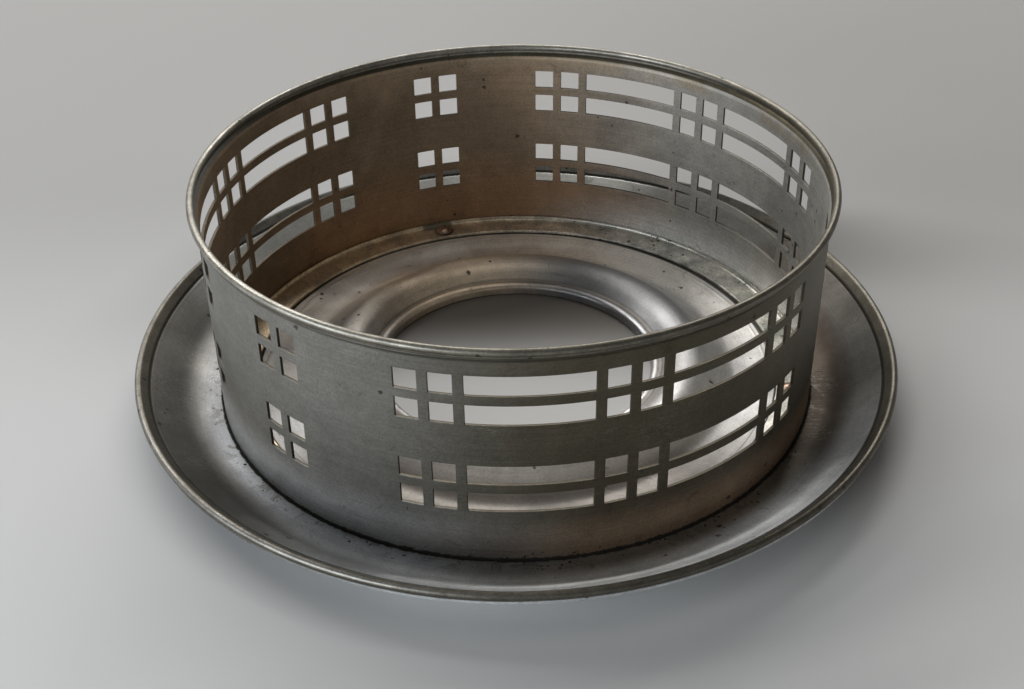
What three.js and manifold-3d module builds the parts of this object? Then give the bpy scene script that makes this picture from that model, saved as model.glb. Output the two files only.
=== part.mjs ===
import * as THREE from 'three';
import { mergeGeometries, mergeVertices, toCreasedNormals } from 'three/addons/utils/BufferGeometryUtils.js';
import Module from 'manifold-3d';

// Dish warmer: a pierced gallery ring riveted to a round pressed base plate.
// Millimetres, +Z up. The origin is on the table, at the centre of the base.

const wasm = await Module();
wasm.setup();

const GAP = 0.3;
const RING_SEGMENTS = 60;

// Base plate: one sheet, from the turned-down lip of the central hole out to the rim.
const BASE_SHEET = 0.8;
const HOLE_RADIUS = 42.5;
const LIP_BOTTOM = 0.4;
const LIP_TOP = 4.1;
const LIP_ROUNDING = 1.5;
const VALLEY_RADIUS = 45.4;
const VALLEY_HEIGHT = 3.4;
const HUMP_CORNER_RADIUS = 52.9;
const HUMP_CORNER_HEIGHT = 10.17;
const HUMP_ROUNDING = 8.2;
const HUMP_FOOT_RADIUS = 67;
const HUMP_FOOT_ROUNDING = 7;
const TROUGH_EDGE_RADIUS = 72.9;
const SEAT_INNER_RADIUS = 77;
const TROUGH_SIDE_ROUNDING = 15;
const SEAT_HEIGHT = 1.9;
const COVE_START_RADIUS = 94.5;
const COVE_RADIUS = 14;
const FLANGE_SLOPE = 36;
const CREASE_RADIUS = 111.4;
const LEDGE_RADIUS = 115.1;

// Wire along the rim of the base: a bead with a sloping inner face.
const BASE_BEAD_RADIUS = 1.2;
const BASE_BEAD_CENTRE = 114.7;
const WIRE_INNER_RADIUS = 111.8;

// Gallery: a strip rolled into a ring, with a flared top edge.
const GALLERY_RADIUS = 90.9;
const GALLERY_SHEET = 0.9;
const FLARE_START = 65;
const FLARE_TOP = 66.8;
const FLARE_WIDTH = 1.2;

// Pierced pattern: squares and long slots in four rows, in long panels and small motifs.
const SQUARE_ANGLE = 3.9;
const SLOT_ANGLE = 20.5;
const BAR_ANGLE = 1.74;
const OPENING_HEIGHT = 6;
const THIN_BAR = 2.8;
const MIDDLE_BAND = 12.8;
const LOWEST_OPENING = 18.6;
const SLOT_PLACES = [2, 5];
const LONG_PANEL_COLUMNS = 8;
const SMALL_MOTIF_COLUMNS = 2;
const LONG_PANEL_CENTRES = [46.53, 166.1, 288.96];
const SMALL_MOTIF_CENTRES = [107.03, 227.53, 347.6];

// Ring on the gallery's top edge that carries the dish.
const RIM_COLLAR_INNER = 91.3;
const RIM_COLLAR_OUTER = 92.3;
const RIM_BEAD_RADIUS = 1.1;
const RIM_BEAD_CENTRE = 91.9;
const RIM_BEAD_HEIGHT = 68.8;

// Flange ring inside the gallery's foot, and the rivets through it.
const FLANGE_INNER = 81.1;
const FLANGE_THICKNESS = 0.9;
const FLANGE_LEG_TOP = 4.3;
const FLANGE_LEG_WIDTH = 0.35;
const FLANGE_FILLET = 1.1;
const RIVET_CIRCLE = 85.1;
const RIVET_FIRST_ANGLE = 107.3;
const RIVET_COUNT = 3;
const RIVET_HEAD_RADIUS = 3.4;
const RIVET_HEAD_HEIGHT = 1.8;
const RIVET_SHANK_RADIUS = 1.5;
const RIVET_TAIL_RADIUS = 2.4;
const RIVET_TAIL_BOTTOM = 0.15;
const RIVET_SEGMENTS = 12;

const radians = THREE.MathUtils.degToRad;

// Corners are [radius, height, rounding, steps]; a rounded corner becomes an arc of that many steps.
function roundedPath(corners) {
  const points = [];
  corners.forEach(([radius, height, rounding = 0, steps = 1], index) => {
    const corner = new THREE.Vector2(radius, height);
    if (rounding === 0) {
      points.push(corner);
      return;
    }
    const before = new THREE.Vector2(...corners[index - 1]).sub(corner).normalize();
    const after = new THREE.Vector2(...corners[index + 1]).sub(corner).normalize();
    const halfAngle = Math.acos(before.dot(after)) / 2;
    const bisector = before.clone().add(after).normalize();
    const centre = corner.clone().addScaledVector(bisector, rounding / Math.sin(halfAngle));
    const tangentLength = rounding / Math.tan(halfAngle);
    const start = corner.clone().addScaledVector(before, tangentLength).sub(centre);
    const end = corner.clone().addScaledVector(after, tangentLength).sub(centre);
    const sweep = Math.atan2(start.cross(end), start.dot(end));
    for (let step = 0; step <= steps; step += 1) {
      const turned = start.clone().rotateAround(new THREE.Vector2(), (sweep * step) / steps);
      points.push(turned.add(centre));
    }
  });
  return points;
}

// The same path moved sideways by a distance, with mitred corners.
function offsetPath(path, distance) {
  const sides = path.slice(1).map((point, index) => {
    const along = point.clone().sub(path[index]).normalize();
    return new THREE.Vector2(along.y, -along.x);
  });
  return path.map((point, index) => {
    const first = sides[Math.max(index - 1, 0)];
    const second = sides[Math.min(index, sides.length - 1)];
    const mitre = first.clone().add(second).normalize();
    return point.clone().addScaledVector(mitre, distance / mitre.dot(first));
  });
}

// Closed profile of a bent sheet whose upper face follows the path.
function sheetProfile(path, thickness) {
  const underside = offsetPath(path, thickness);
  return [...underside, ...path.slice().reverse()];
}

// Points on an arc about a centre, from one angle to another, in degrees.
function arcPoints(centreRadius, centreHeight, radius, from, to, steps) {
  return Array.from({ length: steps + 1 }, (unused, step) => {
    const angle = radians(from + ((to - from) * step) / steps);
    return new THREE.Vector2(centreRadius + radius * Math.cos(angle), centreHeight + radius * Math.sin(angle));
  });
}

// A closed profile turned about the vertical axis; the profile runs anticlockwise.
function turned(profile, segments = RING_SEGMENTS) {
  const closed = [...profile, profile[0].clone()];
  return new THREE.LatheGeometry(closed, segments).rotateX(Math.PI / 2);
}

function toManifold(geometry) {
  const bare = geometry.clone();
  bare.deleteAttribute('normal');
  bare.deleteAttribute('uv');
  const merged = mergeVertices(bare, 1e-4);
  return new wasm.Manifold(new wasm.Mesh({
    numProp: 3,
    vertProperties: new Float32Array(merged.attributes.position.array),
    triVerts: new Uint32Array(merged.index.array),
  }));
}

function toGeometry(solid) {
  const mesh = solid.getMesh();
  const geometry = new THREE.BufferGeometry();
  geometry.setAttribute('position', new THREE.BufferAttribute(new Float32Array(mesh.vertProperties), 3));
  geometry.setIndex(new THREE.BufferAttribute(new Uint32Array(mesh.triVerts), 1));
  return geometry;
}

// A body with cutters taken out of it; the cutters don't touch each other.
function cut(body, cutters) {
  return toGeometry(toManifold(body).subtract(toManifold(mergeGeometries(cutters))));
}

function basePlateBody() {
  const slope = Math.tan(radians(FLANGE_SLOPE));
  const coveCorner = COVE_START_RADIUS + COVE_RADIUS * Math.tan(radians(FLANGE_SLOPE / 2));
  const ledgeHeight = SEAT_HEIGHT + (CREASE_RADIUS - coveCorner) * slope;
  const path = roundedPath([
    [HOLE_RADIUS, LIP_BOTTOM],
    [HOLE_RADIUS, LIP_TOP, LIP_ROUNDING, 3],
    [VALLEY_RADIUS, VALLEY_HEIGHT],
    [HUMP_CORNER_RADIUS, HUMP_CORNER_HEIGHT, HUMP_ROUNDING, 4],
    [HUMP_FOOT_RADIUS, BASE_SHEET, HUMP_FOOT_ROUNDING, 2],
    [TROUGH_EDGE_RADIUS, BASE_SHEET, TROUGH_SIDE_ROUNDING, 2],
    [SEAT_INNER_RADIUS, SEAT_HEIGHT, TROUGH_SIDE_ROUNDING, 2],
    [coveCorner, SEAT_HEIGHT, COVE_RADIUS, 3],
    [CREASE_RADIUS, ledgeHeight],
    [LEDGE_RADIUS, ledgeHeight],
  ]);
  return { geometry: turned(sheetProfile(path, BASE_SHEET)), ledgeHeight };
}

function rivetAngles() {
  const pitch = 360 / RIVET_COUNT;
  return Array.from({ length: RIVET_COUNT }, (unused, index) => RIVET_FIRST_ANGLE + index * pitch);
}

// Round holes through the seat or the flange, one for each rivet.
function rivetHoles() {
  const depth = 12;
  return rivetAngles().map((angle) => {
    const hole = new THREE.CylinderGeometry(
      RIVET_SHANK_RADIUS + GAP,
      RIVET_SHANK_RADIUS + GAP,
      depth,
      RIVET_SEGMENTS,
    );
    return placeOnRivetCircle(hole.rotateX(Math.PI / 2), angle);
  });
}

function placeOnRivetCircle(geometry, angle) {
  return geometry.translate(RIVET_CIRCLE, 0, 0).rotateZ(radians(angle));
}

function baseRimWire(ledgeHeight) {
  const bottom = ledgeHeight + GAP;
  const centreHeight = bottom + BASE_BEAD_RADIUS;
  const profile = [
    new THREE.Vector2(WIRE_INNER_RADIUS, bottom),
    ...arcPoints(BASE_BEAD_CENTRE, centreHeight, BASE_BEAD_RADIUS, -90, 135, 6),
  ];
  return turned(profile);
}

// Angular spans of one row of openings, centred on zero.
function openingSpans(columns) {
  const widths = Array.from({ length: columns }, (unused, column) => {
    const isSlot = columns === LONG_PANEL_COLUMNS && SLOT_PLACES.includes(column);
    return isSlot ? SLOT_ANGLE : SQUARE_ANGLE;
  });
  const total = widths.reduce((sum, width) => sum + width, 0) + BAR_ANGLE * (columns - 1);
  let start = -total / 2;
  return widths.map((width) => {
    const span = [start, start + width];
    start += width + BAR_ANGLE;
    return span;
  });
}

// Wedge that cuts one opening, with straight sides that point at the axis.
function openingCutter(span, centre, bottom) {
  const reach = 4;
  const nearRadius = GALLERY_RADIUS - reach;
  const farRadius = GALLERY_RADIUS + reach;
  const [start, end] = span.map((angle) => radians(centre + angle));
  const corner = (radius, angle) => new THREE.Vector2(radius * Math.cos(angle), radius * Math.sin(angle));
  const outline = new THREE.Shape([
    corner(nearRadius, start),
    corner(farRadius, start),
    corner(farRadius, end),
    corner(nearRadius, end),
  ]);
  const wedge = new THREE.ExtrudeGeometry(outline, { depth: OPENING_HEIGHT, bevelEnabled: false });
  return wedge.translate(0, 0, bottom);
}

function openingCutters() {
  const pitch = OPENING_HEIGHT + THIN_BAR;
  const upperGroup = LOWEST_OPENING + pitch + OPENING_HEIGHT + MIDDLE_BAND;
  const rows = [LOWEST_OPENING, LOWEST_OPENING + pitch, upperGroup, upperGroup + pitch];
  const motif = (columns, centre) => rows.flatMap((bottom) => (
    openingSpans(columns).map((span) => openingCutter(span, centre, bottom))
  ));
  return [
    ...LONG_PANEL_CENTRES.flatMap((centre) => motif(LONG_PANEL_COLUMNS, centre)),
    ...SMALL_MOTIF_CENTRES.flatMap((centre) => motif(SMALL_MOTIF_COLUMNS, centre)),
  ];
}

function galleryWall() {
  const inner = GALLERY_RADIUS - GALLERY_SHEET;
  const bottom = SEAT_HEIGHT + GAP;
  const profile = [
    new THREE.Vector2(inner, bottom),
    new THREE.Vector2(GALLERY_RADIUS, bottom),
    new THREE.Vector2(GALLERY_RADIUS, FLARE_START),
    new THREE.Vector2(GALLERY_RADIUS + FLARE_WIDTH, FLARE_TOP),
    new THREE.Vector2(inner + FLARE_WIDTH, FLARE_TOP),
    new THREE.Vector2(inner, FLARE_START),
  ];
  return cut(turned(profile), openingCutters());
}

function galleryRimRing() {
  const bottom = FLARE_TOP + GAP;
  const outerAngle = -THREE.MathUtils.radToDeg(Math.acos((RIM_COLLAR_OUTER - RIM_BEAD_CENTRE) / RIM_BEAD_RADIUS));
  const innerAngle = 180 + THREE.MathUtils.radToDeg(
    Math.acos((RIM_BEAD_CENTRE - RIM_COLLAR_INNER) / RIM_BEAD_RADIUS),
  );
  const profile = [
    new THREE.Vector2(RIM_COLLAR_INNER, bottom),
    new THREE.Vector2(RIM_COLLAR_OUTER, bottom),
    ...arcPoints(RIM_BEAD_CENTRE, RIM_BEAD_HEIGHT, RIM_BEAD_RADIUS, outerAngle, innerAngle, 8),
  ];
  return turned(profile);
}

function galleryFootRing() {
  const bottom = SEAT_HEIGHT + GAP;
  const top = bottom + FLANGE_THICKNESS;
  const outer = GALLERY_RADIUS - GALLERY_SHEET - GAP;
  const leg = outer - FLANGE_LEG_WIDTH;
  const profile = roundedPath([
    [FLANGE_INNER, bottom],
    [outer, bottom],
    [outer, FLANGE_LEG_TOP],
    [leg, FLANGE_LEG_TOP],
    [leg, top, FLANGE_FILLET, 3],
    [FLANGE_INNER, top],
  ]);
  return cut(turned(profile), rivetHoles());
}

// Domed head above the flange, shank through flange and seat, flat tail under the seat.
function rivet(angle) {
  const headBottom = SEAT_HEIGHT + GAP + FLANGE_THICKNESS + GAP;
  const tailTop = SEAT_HEIGHT - BASE_SHEET - GAP;
  const domeRadius = (RIVET_HEAD_RADIUS ** 2 + RIVET_HEAD_HEIGHT ** 2) / (2 * RIVET_HEAD_HEIGHT);
  const domeEdge = THREE.MathUtils.radToDeg(Math.acos(RIVET_HEAD_RADIUS / domeRadius));
  const dome = arcPoints(0, headBottom + RIVET_HEAD_HEIGHT - domeRadius, domeRadius, domeEdge, 90, 3);
  const profile = [
    new THREE.Vector2(0, RIVET_TAIL_BOTTOM),
    new THREE.Vector2(RIVET_TAIL_RADIUS, RIVET_TAIL_BOTTOM),
    new THREE.Vector2(RIVET_TAIL_RADIUS, tailTop),
    new THREE.Vector2(RIVET_SHANK_RADIUS, tailTop),
    new THREE.Vector2(RIVET_SHANK_RADIUS, headBottom),
    ...dome.slice(0, -1),
    new THREE.Vector2(0, headBottom + RIVET_HEAD_HEIGHT),
  ];
  const body = new THREE.LatheGeometry(profile, RIVET_SEGMENTS).rotateX(Math.PI / 2);
  return toGeometry(toManifold(placeOnRivetCircle(body, angle)));
}

function metal(name, color, roughness) {
  const material = new THREE.MeshStandardMaterial({ color, roughness, metalness: 1 });
  material.name = name;
  return material;
}

const materials = {
  base: metal('base_plate', 0xa39d92, 0.32),
  baseWire: metal('base_rim_wire', 0xb7b0a2, 0.28),
  wall: metal('gallery_wall', 0x847e6d, 0.36),
  rimRing: metal('gallery_rim_ring', 0xaaa596, 0.28),
  footRing: metal('gallery_foot_ring', 0x8f8063, 0.45),
  rivet: metal('rivet', 0xa7683f, 0.4),
};

const dishWarmer = new THREE.Group();
dishWarmer.name = 'dish_warmer';

function addPiece(name, geometry, material) {
  const mesh = new THREE.Mesh(toCreasedNormals(geometry, radians(30)), material);
  mesh.name = name;
  dishWarmer.add(mesh);
}

const base = basePlateBody();
addPiece('base_plate', cut(base.geometry, rivetHoles()), materials.base);
addPiece('base_rim_wire', baseRimWire(base.ledgeHeight), materials.baseWire);
addPiece('gallery_wall', galleryWall(), materials.wall);
addPiece('gallery_rim_ring', galleryRimRing(), materials.rimRing);
addPiece('gallery_foot_ring', galleryFootRing(), materials.footRing);
rivetAngles().forEach((angle, index) => {
  addPiece(`rivet_${index + 1}`, rivet(angle), materials.rivet);
});

export default dishWarmer;
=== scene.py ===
import math

import bmesh
import bpy
from mathutils import Matrix, Vector


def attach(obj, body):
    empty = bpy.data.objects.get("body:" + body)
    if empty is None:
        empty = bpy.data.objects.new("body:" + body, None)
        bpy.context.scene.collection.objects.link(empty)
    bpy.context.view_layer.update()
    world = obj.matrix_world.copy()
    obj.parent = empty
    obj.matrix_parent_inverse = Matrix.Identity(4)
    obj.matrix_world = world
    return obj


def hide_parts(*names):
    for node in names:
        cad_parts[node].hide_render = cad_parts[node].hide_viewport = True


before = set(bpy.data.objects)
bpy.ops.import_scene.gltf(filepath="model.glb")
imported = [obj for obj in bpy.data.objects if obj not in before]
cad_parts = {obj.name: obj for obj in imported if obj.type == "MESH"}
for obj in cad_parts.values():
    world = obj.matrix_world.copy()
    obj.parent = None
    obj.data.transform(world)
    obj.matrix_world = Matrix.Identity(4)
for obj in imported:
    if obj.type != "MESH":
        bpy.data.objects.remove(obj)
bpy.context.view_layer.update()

MM = 0.001


def rgb(red, green, blue):
    return (red, green, blue, 1.0)


# Sheet profiles of the dish warmer, in millimetres, origin on the table at the centre of the base.
JOINT_GAP = 0.3
BASE_SHEET = 0.8
LIP_RADIUS = 42.5
LIP_BOTTOM = 0.4
LIP_TOP = 4.1
VALLEY_RADIUS = 45.4
VALLEY_HEIGHT = 3.4
HUMP_RADIUS = 52.9
HUMP_CORNER_HEIGHT = 10.17
FOOT_INNER_RADIUS = 67
FOOT_OUTER_RADIUS = 72.9
SEAT_RADIUS = 77
SEAT_HEIGHT = 1.9
COVE_START_RADIUS = 94.5
COVE_RADIUS = 14
FLANGE_SLOPE = math.radians(36)
CREASE_RADIUS = 111.4
LEDGE_RADIUS = 115.1
COVE_CORNER = COVE_START_RADIUS + COVE_RADIUS * math.tan(FLANGE_SLOPE / 2)
LEDGE_HEIGHT = SEAT_HEIGHT + (CREASE_RADIUS - COVE_CORNER) * math.tan(FLANGE_SLOPE)
RIDGE_RADIUS = 78.3

BASE_BEAD_RADIUS = 1.2
BASE_BEAD_CENTRE = 114.7
BASE_BEAD_BOTTOM = LEDGE_HEIGHT + JOINT_GAP
WIRE_INNER_RADIUS = 111.8

GALLERY_RADIUS = 90.9
GALLERY_SHEET = 0.9
GALLERY_BOTTOM = SEAT_HEIGHT + JOINT_GAP
FLARE_START = 65
FLARE_TOP = 66.8
FLARE_WIDTH = 1.2
WORN_EDGE = 0.14

RIM_BEAD_RADIUS = 1.1
RIM_BEAD_CENTRE = 91.9
RIM_BEAD_HEIGHT = 68.8
RIM_COLLAR_INNER = 91.3
RIM_COLLAR_OUTER = 92.3
RIM_COLLAR_BOTTOM = FLARE_TOP + JOINT_GAP

FLANGE_INNER = 81.1
FLANGE_TOP = GALLERY_BOTTOM + 0.9
FLANGE_LEG_TOP = 4.3
FLANGE_LEG_WIDTH = 0.35
FLANGE_FILLET = 1.1

RIVET_COUNT = 3
RIVET_CIRCLE = 85.1
RIVET_FIRST_ANGLE = 107.3
RIVET_HEAD_RADIUS = 3.4
RIVET_HEAD_HEIGHT = 1.8
RIVET_SHANK_RADIUS = 1.5
RIVET_TAIL_RADIUS = 2.4
RIVET_TAIL_BOTTOM = 0.15
RIVET_CHAMFER = 0.3
RIVET_CLEARANCE = 0.12

# Pierced pattern, angles in degrees and heights in millimetres.
SQUARE_ANGLE = 3.9
SLOT_ANGLE = 20.5
BAR_ANGLE = 1.74
OPENING_HEIGHT = 6
THIN_BAR = 2.8
MIDDLE_BAND = 12.8
LOWEST_OPENING = 18.6
LONG_PANEL = ("square", "square", "slot", "square", "square", "slot", "square", "square")
SMALL_MOTIF = ("square", "square")
LONG_PANEL_CENTRES = (46.53, 166.1, 288.96)
SMALL_MOTIF_CENTRES = (107.03, 227.53, 347.6)

# Fineness of the meshes: steps round a ring, longest sides in millimetres and degrees.
RING_STEPS = 288
RIVET_STEPS = 36
LONGEST_BASE_SIDE = 1.6
LONGEST_WIRE_SIDE = 0.8
LONGEST_FLANGE_SIDE = 1.5
LONGEST_SHEET_ANGLE = 1.3
LONGEST_SHEET_SIDE = 7
FLARE_STEPS = 6

# Colours of the plated sheet, of what lies on it, and of painted light and shade on it.
BRIGHT_PLATE = rgb(0.50, 0.475, 0.43)
# painted light: the lighter grey low on the outer wall's front left
LIT_LOW_GREY = rgb(0.42, 0.43, 0.44)
# painted light: the lighter cool grey of the outer wall's left side
LIT_COOL_GREY = rgb(0.228, 0.225, 0.209)
WARM_GREY = rgb(0.2, 0.182, 0.15)
OLIVE_TARNISH = rgb(0.085, 0.074, 0.048)
DEEP_BROWN = rgb(0.2, 0.142, 0.098)
PALE_BROWN = rgb(0.6, 0.43, 0.3)
# partly painted sheen: the lighter tan in patches just under the flare inside
TAN_SHEEN = rgb(0.37, 0.295, 0.205)
# dark stains, pits and dirt, and also painted shade in gaps, creases and corners
DARK_STAIN_AND_SHADE = rgb(0.03, 0.026, 0.02)
GREY_STAIN = rgb(0.12, 0.115, 0.1)
RUST = rgb(0.07, 0.042, 0.025)

# Colours of the gallery's inside.
INNER_BROWN = rgb(0.375, 0.278, 0.188)
# partly painted light: the grey of the inside's right side
INNER_GREY_LIT = rgb(0.4, 0.387, 0.355)
INNER_RED = rgb(0.41, 0.238, 0.13)
# painted shade: the darker front of the gallery's inside
INNER_FRONT_SHADE = rgb(0.12, 0.092, 0.062)
# painted reflection: the near white low on the inside's right
INNER_PAINTED_REFLECTION = rgb(0.93, 0.92, 0.89)
SAWN_EDGE = rgb(0.075, 0.066, 0.05)

# Colours of the base inside the gallery.
PLATE_GREY = rgb(0.56, 0.55, 0.54)
# painted warm reflection: the tan of the plate towards the left
PLATE_TAN_REFLECTION = rgb(0.95, 0.795, 0.61)
# painted light: the lightest part of the flat ring
PLATE_PAINTED_LIGHT = rgb(0.97, 0.93, 0.88)
# painted shade: the darker hump at the right
HUMP_SHADE = rgb(0.2, 0.206, 0.222)
# painted shade: the darker left of the plate
PLATE_LEFT_SHADE = rgb(0.24, 0.237, 0.235)
# painted shade: the darker flat ring at the front
PLATE_FRONT_SHADE = rgb(0.1, 0.088, 0.075)
# painted shade: the darker valley beside the lip
VALLEY_SHADE = rgb(0.13, 0.11, 0.088)

# Colours of the base outside the gallery.
FLANGE_GREY = rgb(0.265, 0.258, 0.243)
# brown tarnish of the cove, also laid over the right and back as painted shade
FLANGE_BROWN = rgb(0.2, 0.17, 0.132)
# painted light: the paler slope of the flange at the front right
FLANGE_LIT_SLOPE = rgb(0.74, 0.755, 0.76)
# painted shade: the flange darkest at the right
FLANGE_RIGHT_SHADE = rgb(0.065, 0.058, 0.048)
# painted shade: the flange darkest beside the gallery at the right
FLANGE_FOOT_SHADE = rgb(0.045, 0.033, 0.023)
# painted shade: the darker slope of the flange at the left
FLANGE_SLOPE_SHADE = rgb(0.105, 0.098, 0.086)
# painted highlight: the lighter cove at the front left
COVE_HIGHLIGHT = rgb(0.3, 0.312, 0.332)
# painted light: the paler back of the flange
FLANGE_LIT_BACK = rgb(0.66, 0.66, 0.63)

# Colours of the wires, of the ring at the gallery's foot and of the rivets.
# lit and shaded colours of the wires: polish with painted sheen, and tarnish with painted shade
BASE_BEAD_SHEEN = rgb(0.32, 0.31, 0.29)
BASE_BEAD_TARNISH_SHADE = rgb(0.13, 0.118, 0.095)
GALLERY_BEAD_SHEEN = rgb(0.37, 0.352, 0.312)
GALLERY_BEAD_TARNISH_SHADE = rgb(0.15, 0.137, 0.11)
STRIP_GREY = rgb(0.72, 0.7, 0.64)
STRIP_BROWN = rgb(0.82, 0.66, 0.45)
SOLDER = rgb(0.16, 0.155, 0.12)
VERDIGRIS = rgb(0.2, 0.245, 0.2)
COPPER = rgb(0.48, 0.33, 0.25)
COPPER_TARNISH = rgb(0.2, 0.135, 0.1)

# Studio colours.
TABLE_FRONT = rgb(0.62, 0.62, 0.622)
# painted shade: the table darker towards the back
TABLE_BACK_SHADE = rgb(0.45, 0.448, 0.445)
# painted shadow: the table darker inside the base's hole
TABLE_HOLE_SHADOW = rgb(0.13, 0.115, 0.098)
CARD_PALE = rgb(0.75, 0.74, 0.72)
ROOM_LIGHT = rgb(1.0, 0.955, 0.885)
WARM_WINDOW = (1.0, 0.985, 0.96)
COOL_WINDOW = (0.87, 0.94, 1.0)

# The camera stands where the photograph was taken from.
PHOTO_WIDTH = 1024
FOCAL_PIXELS = 1400.8
SENSOR_WIDTH = 36
CAMERA_PLACE = (0, -361.9, 255.7)
CAMERA_PAN = math.radians(-0.173)
CAMERA_PITCH = math.radians(34.351)
CAMERA_ROLL = math.radians(-0.880)


# Geometry helpers.

def rounded_path(corners, arc_step):
    """Points of a path whose corners are (radius, height, rounding); a rounding becomes an arc."""
    points = []
    for index, (radius, height, rounding) in enumerate(corners):
        corner = Vector((radius, height))
        if rounding == 0:
            points.append(corner)
            continue
        before = (Vector(corners[index - 1][:2]) - corner).normalized()
        after = (Vector(corners[index + 1][:2]) - corner).normalized()
        half_angle = before.angle(after) / 2
        centre = corner + (before + after).normalized() * (rounding / math.sin(half_angle))
        tangent_length = rounding / math.tan(half_angle)
        start = corner + before * tangent_length - centre
        end = corner + after * tangent_length - centre
        sweep = math.atan2(start.x * end.y - start.y * end.x, start.dot(end))
        steps = max(2, math.ceil(abs(math.degrees(sweep)) / arc_step))
        for step in range(steps + 1):
            turn = Matrix.Rotation(sweep * step / steps, 2)
            points.append(centre + turn @ start)
    return points


def arc_points(centre_radius, centre_height, radius, start, end, steps):
    """Points of an arc from one angle to another, in degrees."""
    points = []
    for step in range(steps + 1):
        angle = math.radians(start + (end - start) * step / steps)
        across = centre_radius + radius * math.cos(angle)
        up = centre_height + radius * math.sin(angle)
        points.append(Vector((across, up)))
    return points


def offset_path(path, distance):
    """The path moved sideways by a distance, to its right, with mitred corners."""
    sides = []
    for first, second in zip(path, path[1:]):
        along = (second - first).normalized()
        sides.append(Vector((along.y, -along.x)))
    moved = []
    for index, point in enumerate(path):
        before = sides[max(index - 1, 0)]
        after = sides[min(index, len(sides) - 1)]
        mitre = (before + after).normalized()
        moved.append(point + mitre * (distance / mitre.dot(before)))
    return moved


def split_long_sides(profile, longest):
    """A closed profile with its long straight sides cut into shorter ones."""
    points = []
    for first, second in zip(profile, profile[1:] + profile[:1]):
        count = max(1, math.ceil((second - first).length / longest))
        for step in range(count):
            points.append(first.lerp(second, step / count))
    return points


def add_object(name, data):
    thing = bpy.data.objects.new(name, data)
    bpy.context.scene.collection.objects.link(thing)
    return thing


def mesh_object(name, vertices, faces):
    mesh = bpy.data.meshes.new(name)
    mesh.from_pydata(vertices, [], faces)
    return add_object(name, mesh)


def turned(name, profile, steps=RING_STEPS, closed=True):
    """A profile in millimetres, turned about the vertical axis; an open one has flat ends."""
    vertices = []
    for step in range(steps):
        angle = 2 * math.pi * step / steps
        for point in profile:
            vertices.append((
                point.x * math.cos(angle) * MM,
                point.x * math.sin(angle) * MM,
                point.y * MM,
            ))
    count = len(profile)
    faces = []
    for step in range(steps):
        row = step * count
        next_row = (step + 1) % steps * count
        for index in range(count if closed else count - 1):
            following = (index + 1) % count
            faces.append((row + index, next_row + index, next_row + following, row + following))
    if not closed:
        faces.append(tuple(step * count for step in reversed(range(steps))))
        faces.append(tuple(step * count + count - 1 for step in range(steps)))
    return mesh_object(name, vertices, faces)


def shade_by_area(piece, sharp_angle=40):
    """Smooth shading that keeps the flat faces flat beside small roundings."""
    piece.data.shade_smooth()
    mesh = bmesh.new()
    mesh.from_mesh(piece.data)
    for edge in mesh.edges:
        edge.smooth = edge.calc_face_angle(0) < math.radians(sharp_angle)
    mesh.to_mesh(piece.data)
    mesh.free()
    weighted = piece.modifiers.new("flat faces first", "WEIGHTED_NORMAL")
    weighted.keep_sharp = True
    return piece


def finish_piece(piece, material, slot_name, *nodes):
    piece.data.materials.clear()
    piece.data.materials.append(material)
    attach(piece, "root")
    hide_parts(*nodes)


def bake_modifiers(piece):
    """Replaces a piece's mesh by its evaluated one and takes its modifiers off."""
    evaluated = piece.evaluated_get(bpy.context.evaluated_depsgraph_get())
    plain = bpy.data.meshes.new_from_object(evaluated)
    piece.modifiers.clear()
    piece.data = plain


# Node helpers.

GEOMETRY = "NodeSocketGeometry"
VECTOR = "NodeSocketVector"
NUMBER = "NodeSocketFloat"
COUNT = "NodeSocketInt"


class Tree:
    """Short ways to add and join nodes."""

    def __init__(self, nodes, links):
        self.nodes = nodes
        self.links = links

    def add(self, kind, inputs=None, **settings):
        node = self.nodes.new(kind)
        for key, value in settings.items():
            setattr(node, key, value)
        for key, value in (inputs or {}).items():
            self.put(value, node.inputs[key])
        return node

    def put(self, value, socket):
        if isinstance(value, bpy.types.NodeSocket):
            self.links.new(value, socket)
        else:
            socket.default_value = value

    def math(self, operation, first, second=0.0, third=0.0):
        node = self.add("ShaderNodeMath", {0: first, 1: second, 2: third}, operation=operation)
        return node.outputs[0]

    def times(self, first, second):
        return self.math("MULTIPLY", first, second)

    def largest(self, first, *others):
        for other in others:
            first = self.math("MAXIMUM", first, other)
        return first

    def weighted_sum(self, base, *terms):
        """The base plus each (value, weight) of the terms."""
        for value, weight in terms:
            base = self.math("MULTIPLY_ADD", value, weight, base)
        return base

    def split(self, vector):
        return self.add("ShaderNodeSeparateXYZ", {0: vector}).outputs

    def ramp(self, value, start, end, low=0.0, high=1.0):
        """A smooth step: low where value is under start, high where it is over end."""
        node = self.add(
            "ShaderNodeMapRange",
            {"Value": value, "From Min": start, "From Max": end, "To Min": low, "To Max": high},
            interpolation_type="SMOOTHSTEP",
        )
        return node.outputs["Result"]

    def falling(self, value, full, end):
        return self.ramp(value, full, end, low=1.0, high=0.0)

    def mix(self, factor, first, second, blend="MIX"):
        node = self.add("ShaderNodeMix", data_type="RGBA", blend_type=blend)
        self.put(factor, node.inputs[0])
        self.put(first, node.inputs[6])
        self.put(second, node.inputs[7])
        return node.outputs[2]

    def noise(self, vector, scale, detail=3.0, roughness=0.5, distortion=0.0):
        node = self.add("ShaderNodeTexNoise", {
            "Vector": vector,
            "Scale": scale,
            "Detail": detail,
            "Roughness": roughness,
            "Distortion": distortion,
        })
        return node.outputs["Fac"]


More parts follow.
